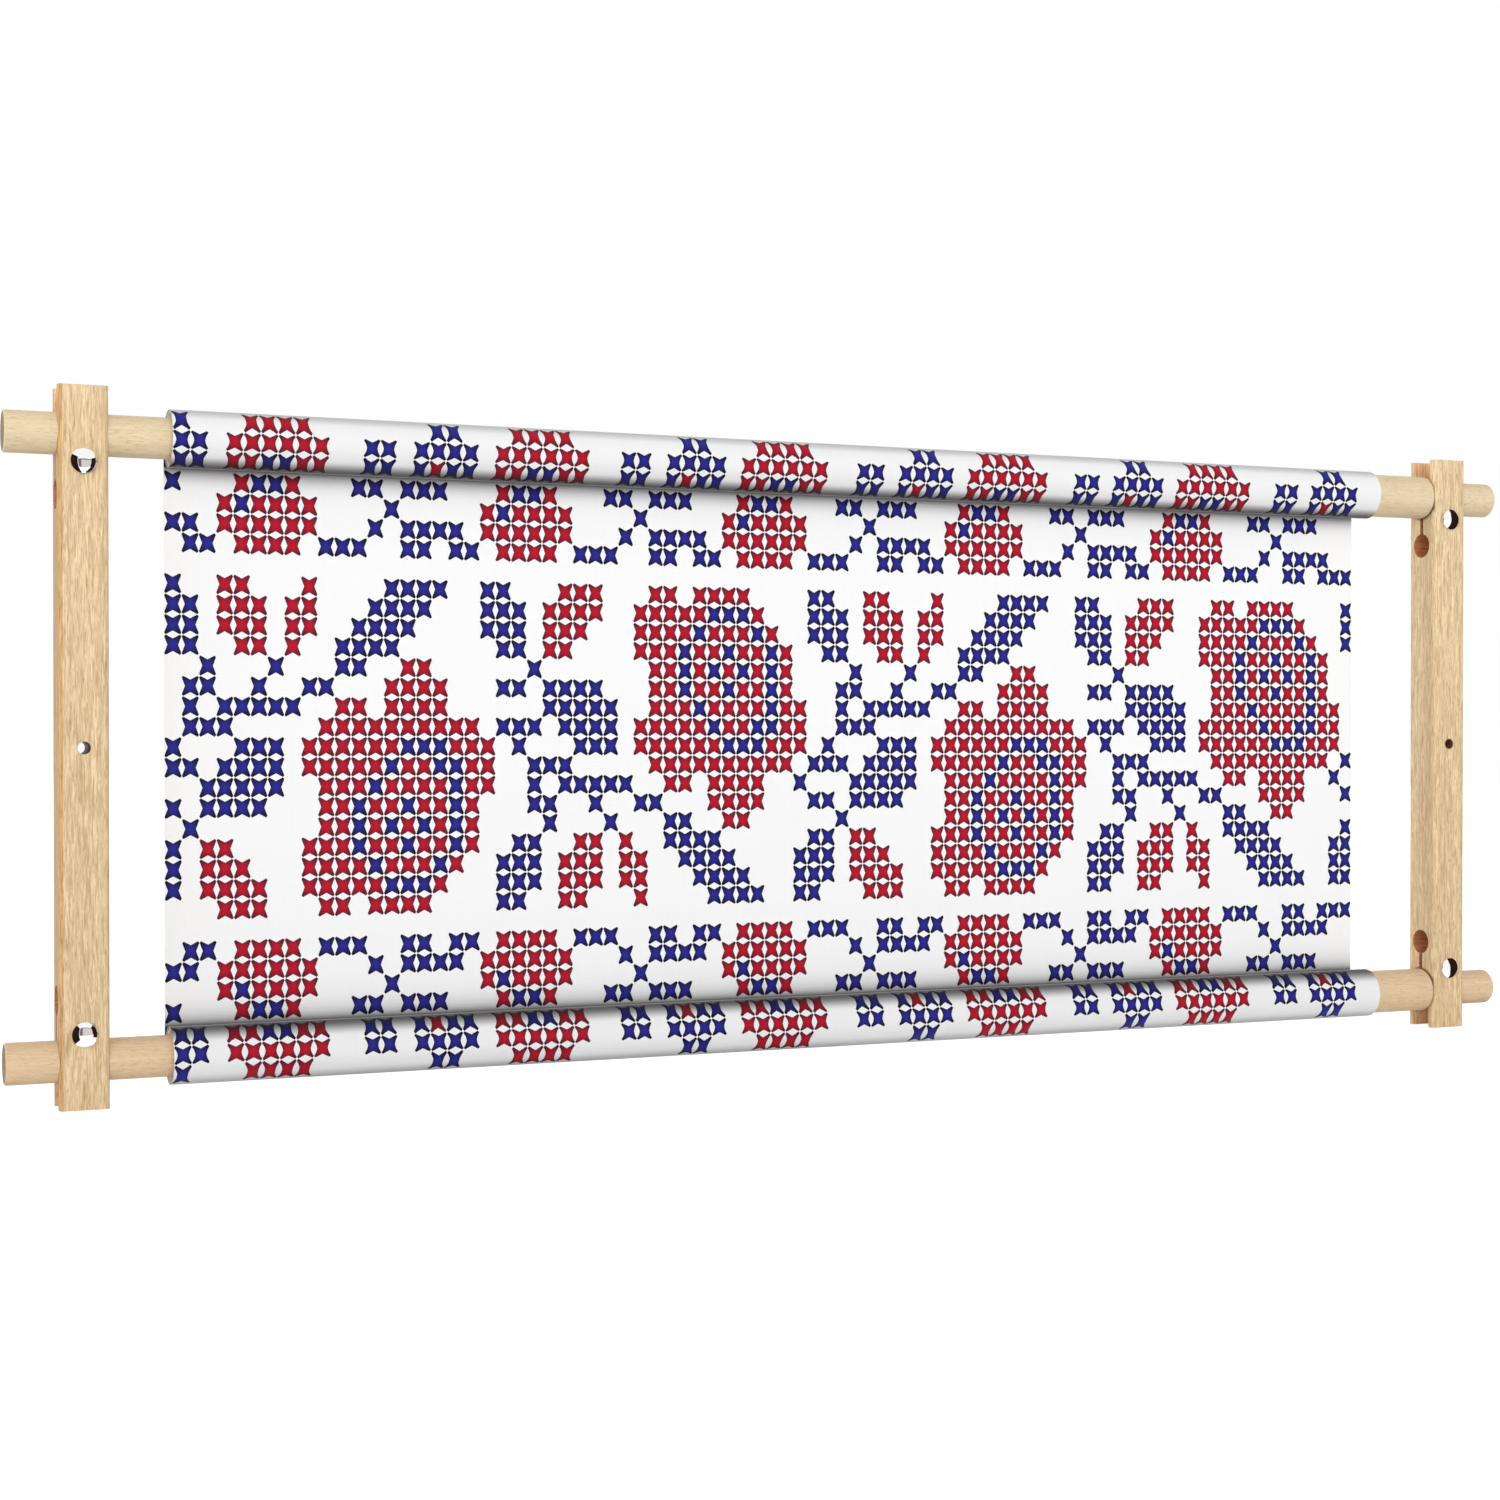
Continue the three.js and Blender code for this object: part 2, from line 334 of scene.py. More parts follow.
def wood(name, axis, light, dark, fleck, end_grain=False, streaky=1.0, painted_shadow=None):
    """Sanded beech: wavy streaks, fine growth lines and short flecks along the grain.
    streaky weakens the streaks, and the last argument gives the mask of a painted shadow."""
    shade = Shade(name, Roughness=0.55, Specular_IOR_Level=MATT)

    def grain(across, along, **inputs):
        """Noise with so many features a metre across and along the grain."""
        return shade.noise([along if letter == axis else across for letter in "XYZ"], **inputs)

    broad = grain(across=60, along=3, Detail=3, Distortion=0.6)
    lines = grain(across=620, along=9, Detail=3, Roughness=0.65, Distortion=0.5)
    streaks = grain(across=1300, along=110, Detail=3, Roughness=0.6, Distortion=0.9)
    flecks = grain(across=2100, along=300, Detail=1)
    pores = grain(across=3600, along=120, Detail=1)
    shadow = tuple(c * share for c, share in zip(dark, STREAK_SHARES))
    glint = tuple(min(c * 1.2, 1) for c in light)
    tone = shade.tint(light, dark, 0.4, broad, 0.3, 0.7)
    tone = shade.tint(tone, shadow, 0.85 * streaky, streaks, 0.46, 0.68)
    tone = shade.tint(tone, glint, 0.8 * streaky, streaks, 0.32, 0.47, 1.0, 0.0)
    tone = shade.tint(tone, dark, 0.6, lines, 0.42, 0.72)
    mask = shade.ramp(flecks, 0.58, 0.72)
    tone = shade.mix(shade.math("MULTIPLY", mask, 0.5), tone, fleck)
    if end_grain:
        rings = grain(across=900, along=900, Detail=2)
        tone = shade.tint(tone, fleck, 0.4, rings, 0.4, 0.65)
    # A painted shadow, where its mask is given
    if painted_shadow:
        tone = shade.mix(painted_shadow(shade), tone, dimmed(fleck, 0.25))
    grooves = shade.bump(Height=pores, Strength=0.25, Distance=0.08 * MM)
    return shade.done(
        Base_Color=tone,
        Roughness=shade.ramp(lines, 0.3, 0.7, 0.42, 0.58),
        Normal=shade.bump(Height=mask, Strength=0.35, Distance=0.06 * MM, Normal=grooves),
    )


PAINTED_SHADE_TONE = 0.04
STRAND_PITCH = 0.55 * MM


def textile(shade, colour, tone, **relief):
    """Ends a textile material: its tone takes the painted shade of the folds and rolls, and it
    has a relief.
    """
    tone = shade.mix(shade.attribute("painted_shade"), tone, dimmed(colour, PAINTED_SHADE_TONE))
    return shade.done(Base_Color=tone, Normal=shade.bump(**relief))


def thread_crown(shade, across):
    """A thread's height over its width of 1, from 0 at its sides to 1 in the middle."""
    return shade.math("ABSOLUTE", shade.math("SINE", shade.math("MULTIPLY", across, math.pi)))


def evenweave(name, colour, pitch, relief):
    """Plain woven cotton: each thread passes over one and under the next."""
    shade = Shade(name, Roughness=0.85, Sheen_Weight=0.1)
    across, along, _ = shade.split(shade.place((1 / pitch, 1 / pitch, 1), "UV"))
    cell = shade.math("ADD", shade.math("FLOOR", across), shade.math("FLOOR", along))
    odd = shade.math("ABSOLUTE", shade.math("MODULO", cell, 2.0))
    even = shade.math("SUBTRACT", 1.0, odd)
    over = shade.math("MULTIPLY", odd, thread_crown(shade, across))
    under = shade.math("MULTIPLY", even, thread_crown(shade, along))
    height = shade.math("ADD", over, under)
    slubs = shade.noise(scale=(500, 90, 1), source="UV", Detail=2)
    # Painted shade darkens the weave where the threads lie low, between them
    tone = shade.mix(shade.ramp(height, 0.05, 0.6, 1.0, 0.0), colour, dimmed(colour, 0.86))
    tone = shade.tint(tone, dimmed(colour, 0.95), 0.3, slubs, 0.45, 0.75)
    return textile(shade, colour, tone, Height=height, Strength=relief, Distance=0.08 * MM)


def thread(name, colour, dark):
    """Stranded cotton, with painted shade where a stitch dips into the cloth."""
    shade = Shade(name, Roughness=0.6, Sheen_Weight=0.03, Specular_IOR_Level=MATT)
    _, across, _ = shade.split(shade.place(source="UV"))
    strands = shade.math("SINE", shade.math("MULTIPLY", across, 2 * math.pi / STRAND_PITCH))
    fuzz = shade.noise(scale=(1500, 1500, 1500), Detail=2)
    tone = shade.mix(shade.ramp(shade.attribute("dip"), 0.2, 0.8), colour, dark)
    tone = shade.tint(tone, dark, 0.25, fuzz, 0.4, 0.7)
    return textile(shade, colour, tone, Height=strands, Strength=0.3, Distance=0.06 * MM)


def polished(name, colour, roughness):
    """Mirror-bright plating, with faint marks."""
    shade = Shade(name, Roughness=roughness, Metallic=1.0)
    marks = shade.noise(scale=(900, 900, 900), Detail=3)
    tone = shade.mix(shade.ramp(marks, 0.45, 0.8), colour, dimmed(colour, 0.93))
    dullness = shade.ramp(marks, 0.3, 0.8, roughness * 0.8, roughness * 1.3)
    return shade.done(Base_Color=tone, Roughness=dullness)


def plated(name, colour):
    """Zinc plate, with a faint mottle from the bath."""
    shade = Shade(name, Roughness=0.3, Metallic=1.0)
    mottle = shade.noise(scale=(260, 260, 260), Detail=4, Roughness=0.7)
    grain = shade.noise(scale=(2600, 2600, 2600), Detail=2)
    tone = shade.mix(shade.ramp(mottle, 0.35, 0.7), colour, dimmed(colour, 0.8))
    return shade.done(
        Base_Color=tone,
        Roughness=shade.ramp(mottle, 0.3, 0.75, 0.24, 0.42),
        Normal=shade.bump(Height=grain, Strength=0.15, Distance=0.03 * MM),
    )


# Light, dark and fleck colour of each wood
BEECH = ((0.80, 0.63, 0.40), (0.67, 0.48, 0.266), (0.50, 0.30, 0.14))
BAR_END_BEECH = ((0.66, 0.47, 0.28), (0.55, 0.38, 0.22), (0.38, 0.24, 0.13))
# Cut beech in the bars' holes and slit, darkened further by painted shade
BORED_BEECH_AND_SHADE = ((0.60, 0.27, 0.12), (0.44, 0.18, 0.07), (0.26, 0.10, 0.04))
# Painted shade inside the bars' middle holes
DRILLED_HOLE_SHADE = ((0.20, 0.10, 0.05), (0.14, 0.07, 0.03), (0.08, 0.04, 0.02))
SAWN_BEECH = ((0.88, 0.58, 0.34), (0.76, 0.46, 0.25), (0.46, 0.25, 0.12))
# Painted shade on the left bar's rounded front-left corner
LEFT_CORNER_SHADE_BEECH = ((0.68, 0.43, 0.20), (0.58, 0.34, 0.15), (0.38, 0.20, 0.08))
# Painted shade on the left bar's outer side
SHADED_SIDE_BEECH = ((0.58, 0.40, 0.22), (0.50, 0.33, 0.17), (0.34, 0.19, 0.08))
PALE_BEECH = ((0.79, 0.66, 0.44), (0.71, 0.555, 0.35), (0.50, 0.30, 0.14))
PINK_BEECH = ((0.78, 0.59, 0.39), (0.69, 0.49, 0.30), (0.50, 0.30, 0.14))
# End grain of the rollers, darkened further by painted shade
ROLLER_END_GRAIN_AND_SHADE = ((0.32, 0.23, 0.135), (0.25, 0.17, 0.10), (0.16, 0.10, 0.06))
ROLLER_STREAKS = 0.25

# Painted shadow of the rollers' shoulders on the right bar
SHADOW_INNER = 11.1 * MM
SHADOW_OUTER = 12.3 * MM
SHADOW_SCALE = 20 * MM
SHADOW_SIDE_DEPTH = 0.9 * MM
SHADOW_MOST = 0.85
SHADOW_LEAST = 0.2


def shoulder_painted_shadow(shade):
    """Painted shadow: a dark arc where the rollers' shoulders shade the right bar's inner
    side, darkest towards the bar's middle."""
    x, y, z = shade.split(shade.place())
    inner_side = shade.math("COMPARE", x, BAR_X["right"] - BAR_HALF_WIDTH, SHADOW_SIDE_DEPTH)
    across = shade.math("SUBTRACT", y, AXIS_Y)
    height = shade.math("ABSOLUTE", shade.math("SUBTRACT", z, MIDDLE_Z))
    beyond = shade.math("SUBTRACT", height, AXIS_Z["upper"] - MIDDLE_Z)
    square = shade.math("MULTIPLY", beyond, beyond)
    reach = shade.math("SQRT", shade.math("MULTIPLY_ADD", across, across, square))
    reach = shade.math("DIVIDE", reach, SHADOW_SCALE)
    ring = shade.ramp(reach, SHADOW_INNER / SHADOW_SCALE, SHADOW_OUTER / SHADOW_SCALE, SHADOW_MOST, 0.0)
    beyond = shade.math("MULTIPLY_ADD", beyond, 0.5 / SHADOW_SCALE, 0.5)
    inward = shade.ramp(beyond, 0.4, 0.75, 1.0, SHADOW_LEAST)
    return shade.math("MULTIPLY", shade.math("MULTIPLY", ring, inward), inner_side)


bar_wood = {
    "left": wood("left_bar_beech", "Z", *BEECH),
    "right": wood("right_bar_beech", "Z", *BEECH, painted_shadow=shoulder_painted_shadow),
}
# The slots of a bar's materials: the face's, then the others in order
FACE, END, BORED, DRILLED, SAWN, SHADED_CORNER, SHADED_OUTER_SIDE = range(7)
bar_other_woods = [
    wood("bar_beech_end_grain", "Z", *BAR_END_BEECH, end_grain=True),
    wood("bar_beech_bored_and_painted_shade", "X", *BORED_BEECH_AND_SHADE),
    wood("bar_beech_drilled_painted_shade", "X", *DRILLED_HOLE_SHADE),
    wood("bar_beech_sawn", "Z", *SAWN_BEECH),
    wood("left_bar_beech_painted_shade_corner", "Z", *LEFT_CORNER_SHADE_BEECH),
    wood("left_bar_beech_painted_shade_side", "Z", *SHADED_SIDE_BEECH),
]
roller_wood = {
    "upper": wood("upper_roller_beech", "X", *PALE_BEECH, streaky=ROLLER_STREAKS),
    "lower": wood("lower_roller_beech", "X", *PINK_BEECH, streaky=ROLLER_STREAKS),
}
roller_end_shaded_wood = wood("roller_beech_end_grain_and_painted_shade", "X", *ROLLER_END_GRAIN_AND_SHADE, end_grain=True)
cloth_weave = evenweave("evenweave_cotton", (0.95, 0.95, 0.955), pitch=0.62 * MM, relief=0.35)
tape_weave = evenweave("webbing_cotton", (0.72, 0.62, 0.45), pitch=0.8 * MM, relief=0.8)
red_thread = thread("red_stranded_cotton", (0.515, 0.0065, 0.024), (0.115, 0.010, 0.025))
blue_thread = thread("blue_stranded_cotton", (0.026, 0.022, 0.29), (0.008, 0.008, 0.030))
chrome = polished("polished_steel", (0.95, 0.94, 0.94), roughness=0.05)
zinc = plated("zinc_plate", (0.66, 0.66, 0.68))


# Side bars
HOLE_RADIUS = 9.0 * MM
SLOT_HALF = 6.5 * MM
SLOT_DEPTH = 14 * MM
SLIT_HALF = 1.35 * MM
RELIEF_RADIUS = 6.25 * MM
RELIEF_INSET = 44.9 * MM
CENTRE_HOLE_RADIUS = 2.65 * MM
BOLT_HOLE_RADIUS = 2.25 * MM
BAR_EDGE = 2.2 * MM
OVERRUN = 2 * MM
ARC_STEPS = 28

# How near a face lies to a surface that it belongs to, and how far it faces that way
MARGIN = 0.4 * MM
FLAT_FACING = 0.7
BORE_FACING = 0.3
EDGE_FACING = 0.1


def clamp_outline(at_top):
    """Slot, roller hole, slit and relief hole as one outline in Y and Z."""
    inset = AXIS_Z["lower"] - BAR_LOW.z
    slot_angle = math.degrees(math.asin(SLOT_HALF / HOLE_RADIUS))
    slit_angle = math.degrees(math.asin(SLIT_HALF / HOLE_RADIUS))
    relief_angle = math.degrees(math.asin(SLIT_HALF / RELIEF_RADIUS))
    right = [(SLOT_HALF, -OVERRUN)]
    right += arc(0, inset, HOLE_RADIUS, slot_angle - 90, 90 - slit_angle, ARC_STEPS)
    right += arc(0, RELIEF_INSET, RELIEF_RADIUS, relief_angle - 90, 90, ARC_STEPS)
    left = [(-y, z) for y, z in reversed(right[:-1])]
    outline = [(AXIS_Y + y, z) for y, z in right + left]
    if at_top:
        outline = [(y, BAR_LENGTH - z) for y, z in outline]
    return outline


def bar_face_slot(side, centre, normal):
    """Which of a bar's materials a face takes, from its place and direction."""
    off_side = abs(centre.x - BAR_X[side])
    off_axis = abs(centre.y - AXIS_Y)
    inset = min(centre.z - BAR_LOW.z, BAR_HIGH.z - centre.z)
    outside = off_side > BAR_HALF_WIDTH - BAR_EDGE or off_axis > BAR_HALF_DEPTH - MARGIN
    in_hole = abs(normal.x) < BORE_FACING and off_axis < BAR_HALF_DEPTH - BAR_EDGE
    inside = not outside or in_hole
    from_hole = math.hypot(centre.x - BAR_X[side], centre.z - BAR_LOW.z - BAR_LENGTH / 2)
    # The middle hole's wall takes painted shade
    if from_hole < CENTRE_HOLE_RADIUS + MARGIN / 4:
        return DRILLED
    if inset < MARGIN and abs(normal.z) > FLAT_FACING:
        return END
    if inside and abs(off_axis - SLOT_HALF) < MARGIN and inset < SLOT_DEPTH:
        return SAWN
    # Holes and slit: cut beech with painted shade
    if inside:
        return BORED
    # Painted shade on the left bar's front-left corner
    if side == "left" and normal.x < -EDGE_FACING and normal.y < -EDGE_FACING:
        return SHADED_CORNER
    # Painted shade on the left bar's outer side
    if side == "left" and normal.x < -FLAT_FACING:
        return SHADED_OUTER_SIDE
    return FACE


def side_bar(side):
    x = BAR_X[side]
    flat_x, flat_y = BAR_HALF_WIDTH - BAR_EDGE, BAR_HALF_DEPTH - BAR_EDGE
    outline = []
    for sign_x, sign_y, start in ((1, 1, 0), (-1, 1, 90), (-1, -1, 180), (1, -1, 270)):
        corner = (x + sign_x * flat_x, AXIS_Y + sign_y * flat_y)
        outline += arc(*corner, BAR_EDGE, start, start + 90, steps=8)
    bar = prism(f"{side}_bar_wood", outline, "Z", BAR_LOW.z, BAR_HIGH.z)
    reach = BAR_HALF_WIDTH + OVERRUN
    for at_top in (False, True):
        cutter = prism("cutter", clamp_outline(at_top), "X", x - reach, x + reach)
        boolean(bar, cutter, "DIFFERENCE")
    front, back = BAR_LOW.y - OVERRUN, BAR_HIGH.y + OVERRUN
    drills = [(CENTRE_HOLE_RADIUS, BAR_LOW.z + BAR_LENGTH / 2)]
    drills += [(BOLT_HOLE_RADIUS, z) for z in BOLT_Z.values()]
    for radius, z in drills:
        hole = arc(x, z, radius, 0, 360, steps=64)[:-1]
        boolean(bar, prism("cutter", hole, "Y", front, back), "DIFFERENCE")
    bevel(bar, width=0.3 * MM, segments=2, angle=40)
    dress(bar.data, 30, bar_wood[side], *bar_other_woods)
    for face in bar.data.polygons:
        face.material_index = bar_face_slot(side, face.center, face.normal)
    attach(bar, f"{side}_bar")
    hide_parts(f"{side}_side_bar")


for side in SIDES:
    side_bar(side)


# Rollers
JOURNAL_RADIUS = 8.8 * MM
BODY_RADIUS = 11 * MM
BODY_LEFT = CLOTH_LOW.x + 6 * MM
BODY_RIGHT = BAR_X["right"] - BAR_HALF_WIDTH - 0.3 * MM
SHOULDER_EASING = 0.6 * MM
SHOULDER_STEP = 0.05 * MM
END_EASING = 0.9 * MM
END_RING = 0.5 * MM
END_MARGIN = 0.1 * MM


def roller(end):
    low, high = ROLLER_LOW.x, ROLLER_HIGH.x
    flat_end = JOURNAL_RADIUS - END_EASING - END_RING
    profile = [(0, low), (flat_end, low)]
    profile += reversed(round_corner(JOURNAL_RADIUS, low, END_EASING, 5, -1))
    profile += [(JOURNAL_RADIUS, BODY_LEFT - SHOULDER_STEP)]
    profile += reversed(round_corner(BODY_RADIUS, BODY_LEFT, SHOULDER_EASING, 4, -1))
    profile += round_corner(BODY_RADIUS, BODY_RIGHT, SHOULDER_EASING, 4, 1)
    profile += [(JOURNAL_RADIUS, BODY_RIGHT + SHOULDER_STEP)]
    profile += round_corner(JOURNAL_RADIUS, high, END_EASING, 5, 1)
    profile += [(flat_end, high), (0, high)]
    piece = lathe(f"{end}_roller_wood", profile, "X", (AXIS_Y, AXIS_Z[end]), sides=96)
    dress(piece.data, 32, roller_wood[end], roller_end_shaded_wood)
    for face in piece.data.polygons:
        at_end = min(face.center.x - low, high - face.center.x) < END_MARGIN
        face.material_index = 1 if at_end else 0
    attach(piece, f"{end}_roller")
    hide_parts(f"{end}_roller")


for end in ENDS:
    roller(end)


# Cloth. Its middle line runs in Y and Z: s is 0 at half height and grows upwards, along the
# flat panel, then round the back, top and front of the upper roll. Below, it is mirrored.
SHEET_THICKNESS = 0.34 * MM
PANEL_Y = (CLOTH_LOW.y + CLOTH_HIGH.y) / 2
PANEL_STEPS = 174
FLAT_REACH = AXIS_Z["upper"] - MIDDLE_Z
WRAP_START = PANEL_Y - AXIS_Y
WRAP_TOP = 12.2 * MM
WRAP_END = 11.95 * MM
WRAP_TURN = 380
WRAP_STEP = 4
SETTLE_TURN = 80


def eased(share):
    """Goes from 0 to 1 with the share, and is level at both ends."""
    share = min(max(share, 0), 1)
    return share * share * (3 - 2 * share)


def wrap_radius(angle):
    """Radius of the wrapped cloth's middle line, at an angle in degrees from the back."""
    drift = (WRAP_TOP - WRAP_END) * min(angle / 360, 1)
    return WRAP_START + (WRAP_TOP - WRAP_START) * eased(angle / SETTLE_TURN) - drift


def roller_point(end, radius, angle, sign):
    """A point round a roller, at an angle in degrees from the back, upwards for sign 1."""
    turn = math.radians(angle)
    return AXIS_Y + radius * math.cos(turn), AXIS_Z[end] + sign * radius * math.sin(turn)


def wrap_point(angle, lift=0.0):
    """A point on the upper wrap, or lifted out of it, as Y and Z."""
    return roller_point("upper", wrap_radius(angle) + lift, angle, 1)


def mirrored(point):
    return (point[0], 2 * MIDDLE_Z - point[1])


def line_length(points):
    return sum(math.dist(a, b) for a, b in zip(points, points[1:]))


def strip(name, material, centre_line, low_x, high_x, x_steps, thickness, shade=None):
    """A thin closed sheet that follows a line of (y, z) points, drawn out along X.
    Its UV map is in metres: X across, and the distance along the line. shade gives the
    painted shade of each point of the line, on each face."""
    count = len(centre_line)
    lengths = [0.0]
    for first, second in zip(centre_line, centre_line[1:]):
        lengths.append(lengths[-1] + math.dist(first, second))
    sides = []
    for i, (y, z) in enumerate(centre_line):
        before = centre_line[max(i - 1, 0)]
        after = centre_line[min(i + 1, count - 1)]
        step = math.dist(before, after)
        normal = ((after[1] - before[1]) / step, -(after[0] - before[0]) / step)
        halves = (thickness / 2, -thickness / 2)
        sides.append([(y + normal[0] * half, z + normal[1] * half) for half in halves])
    verts, uvs, painted_shades = [], [], []
    for j in range(x_steps + 1):
        x = low_x + (high_x - low_x) * j / x_steps
        for k in (0, 1):
            for i in range(count):
                verts.append((x, *sides[i][k]))
                uvs.append((x, lengths[i]))
                painted_shades.append(shade(*centre_line[i], k) if shade else 0.0)

    def at(j, k, i):
        return (j * 2 + k) * count + i

    faces = []
    for j in range(x_steps):
        for i in range(count - 1):
            faces.append((at(j, 0, i), at(j + 1, 0, i), at(j + 1, 0, i + 1), at(j, 0, i + 1)))
            faces.append((at(j, 1, i), at(j, 1, i + 1), at(j + 1, 1, i + 1), at(j + 1, 1, i)))
        for i, turn in ((0, 1), (count - 1, -1)):
            face = (at(j, 0, i), at(j, 1, i), at(j + 1, 1, i), at(j + 1, 0, i))
            faces.append(face[::turn])
    for j, turn in ((0, 1), (x_steps, -1)):
        for i in range(count - 1):
            face = (at(j, 0, i), at(j, 0, i + 1), at(j, 1, i + 1), at(j, 1, i))
            faces.append(face[::turn])
    mesh = mesh_of(name, verts, faces)
    add_uvs(mesh, "weave", uvs)
    add_values(mesh, "painted_shade", painted_shades)
    dress(outward(mesh), 40, material)
    return add_object(name, mesh)


# Painted shade darkens the cloth in the fold between the panel and each roll, a little along
# the roll's far edge, and evenly over the rest of the roll, outside and inside. On the roll,
# the fold's shade fades over a given height, and eases off towards the roll's back. On the
# panel, it has a given strength a little behind the roll's edge, and falls by a factor e every
# given length from there.
FRONT_FACE = 1
SHADE_FADE_ON_ROLL = {"upper": 5.3 * MM, "lower": 6.9 * MM}
SHADE_IN_PANEL = {"upper": 0.83, "lower": 0.95}
SHADE_FADE_ON_PANEL = {"upper": 2.8 * MM, "lower": 3.8 * MM}
PANEL_SHADE_MOST = 0.97
FOLD_SEEN = 1.4 * MM
ROLL_SHADE_MOST = 0.98
PANEL_MARGIN = 0.75 * MM
RIM_SHADE_MOST = 0.46
RIM_REACH = 6.5 * MM
BEHIND_FROM = -2.8 * MM
BEHIND_REACH = 6.5 * MM
BEHIND_LEAST = 0.25
ROLL_SHADE_LEAST = 0.10
INSIDE_ROLL_SHADE = 0.5


def painted_shade_depth(y, z, face):
    """How much painted shade a point of the cloth takes, 0 to 1. Face 1 of the sheet is the
    panel's front and the roll's inside, and face 0 the panel's back and the roll's outside."""
    height = abs(z - MIDDLE_Z)
    end = "upper" if z > MIDDLE_Z else "lower"
    inner = FLAT_REACH - WRAP_TOP
    if y > PANEL_Y - PANEL_MARGIN and height < FLAT_REACH:
        if face != FRONT_FACE:
            return 0
        reach = (height - inner - FOLD_SEEN) / SHADE_FADE_ON_PANEL[end]
        return min(SHADE_IN_PANEL[end] * math.exp(reach), PANEL_SHADE_MOST)
    if face == FRONT_FACE:
        return INSIDE_ROLL_SHADE
    rim = RIM_SHADE_MOST * eased(1 - (FLAT_REACH + WRAP_TOP - height) / RIM_REACH)
    painted_shade = ROLL_SHADE_MOST * eased(1 - (height - inner) / SHADE_FADE_ON_ROLL[end])
    behind = eased((y - AXIS_Y - BEHIND_FROM) / BEHIND_REACH)
    painted_shade = painted_shade * (1 - behind) + min(painted_shade, BEHIND_LEAST) * behind
    return max(painted_shade, rim * (1 - behind), ROLL_SHADE_LEAST)


upper_line = [wrap_point(angle) for angle in range(0, WRAP_TURN + 1, WRAP_STEP)]
panel_line = [
    (PANEL_Y, MIDDLE_Z - FLAT_REACH + 2 * FLAT_REACH * i / PANEL_STEPS)
    for i in range(1, PANEL_STEPS)
]
cloth_line = [mirrored(p) for p in reversed(upper_line)] + panel_line + upper_line
cloth = strip(
    "stitched_cloth", cloth_weave, cloth_line, CLOTH_LOW.x, CLOTH_HIGH.x, 24, SHEET_THICKNESS,
    painted_shade_depth,
)
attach(cloth, "cloth")
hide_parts("cloth_panel")

# The cloth's inner turns, which go round with the rollers, and the webbing tape under them
INNER_START = 11.2 * MM
INNER_END = 11.59 * MM
INNER_TURN = 400
INNER_STEP = 5
INNER_INSET_LEFT = 0.4 * MM
INNER_INSET_RIGHT = 0.3 * MM
TAPE_RADIUS = 11.16 * MM
TAPE_THICKNESS = 0.28 * MM
TAPE_START = 2
TAPE_TURN = 54
TAPE_STEPS = 24


def inner_turns(end):
    """The wound cloth on one roller, and the length of its line."""
    sign = -1 if end == "upper" else 1
    points = []
    for angle in range(0, INNER_TURN + 1, INNER_STEP):
        radius = INNER_START + (INNER_END - INNER_START) * angle / INNER_TURN
        points.append(roller_point(end, radius, angle, sign))
    low_x, high_x = CLOTH_LOW.x + INNER_INSET_LEFT, CLOTH_HIGH.x - INNER_INSET_RIGHT
    name = f"{end}_wound_cloth"
    piece = strip(name, cloth_weave, points, low_x, high_x, 12, SHEET_THICKNESS)
    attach(piece, f"{end}_roller")
    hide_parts(f"{end}_cloth_roll")
    return piece, line_length(points)


def tape(end):
    low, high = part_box(f"{end}_webbing_tape")
    sign = 1 if end == "upper" else -1
    angles = [TAPE_START + TAPE_TURN * i / TAPE_STEPS for i in range(TAPE_STEPS + 1)]
    points = [roller_point(end, TAPE_RADIUS, angle, sign) for angle in angles]
    name = f"{end}_roller_tape"
    piece = strip(name, tape_weave, points, low.x, high.x, 12, TAPE_THICKNESS)
    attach(piece, f"{end}_roller")
    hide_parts(f"{end}_webbing_tape")


wound = {end: inner_turns(end) for end in ENDS}
for end in ENDS:
    tape(end)


# Embroidery. The charts are in cells: column 0 is at the cloth's left edge, and row 0 is the
# chart's top row. A shape is (colour, top row, then for each row its column range or ranges).
COLUMNS = 84
CELL_WIDTH = CLOTH_WIDTH / COLUMNS
CELL_HEIGHT = 8.79 * MM
RED, BLUE = "red", "blue"


def chart_of(*shapes):
    """The cells of some shapes, as {(column, row): colour}."""
    cells = {}
    for colour, top, *rows in shapes:
        for offset, row in enumerate(rows):
            ranges = row if isinstance(row[0], tuple) else (row,)
            for first, last in ranges:
                for column in range(first, last + 1):
                    cells[(column, top + offset)] = colour
    return cells


# The blue petal line of the large rose: a leaning ring, and four cells round the heart
ROSE_COLUMN, ROSE_ROW = 14.2, 11.6
ROSE_LEAN = 0.15
ROSE_HALF_WIDTH, ROSE_HALF_HEIGHT = 2.9, 3.4
RING_INNER, RING_OUTER = 0.84, 1.15
HEART_COLUMN, HEART_ROW = 14, 12


def rose_chart():
    """A large rose, 12 cells wide and 13 tall, with a curled blue petal line."""
    cells = chart_of(
        (
            RED, 4, (14, 15), (13, 16), ((10, 11), (13, 16)), (9, 18), (8, 19), (8, 19),
            (9, 19), (9, 18), (9, 18), (8, 18), (8, 17), (8, 16), ((9, 10), (12, 15)),
        )
    )
    for column, row in list(cells):
        across = column - ROSE_COLUMN + ROSE_LEAN * (row - ROSE_ROW)
        reach = math.hypot(across / ROSE_HALF_WIDTH, (row - ROSE_ROW) / ROSE_HALF_HEIGHT)
        from_heart = abs(column - HEART_COLUMN) + abs(row - HEART_ROW)
        if RING_INNER < reach < RING_OUTER or from_heart == 1:
            cells[(column, row)] = BLUE
    return cells


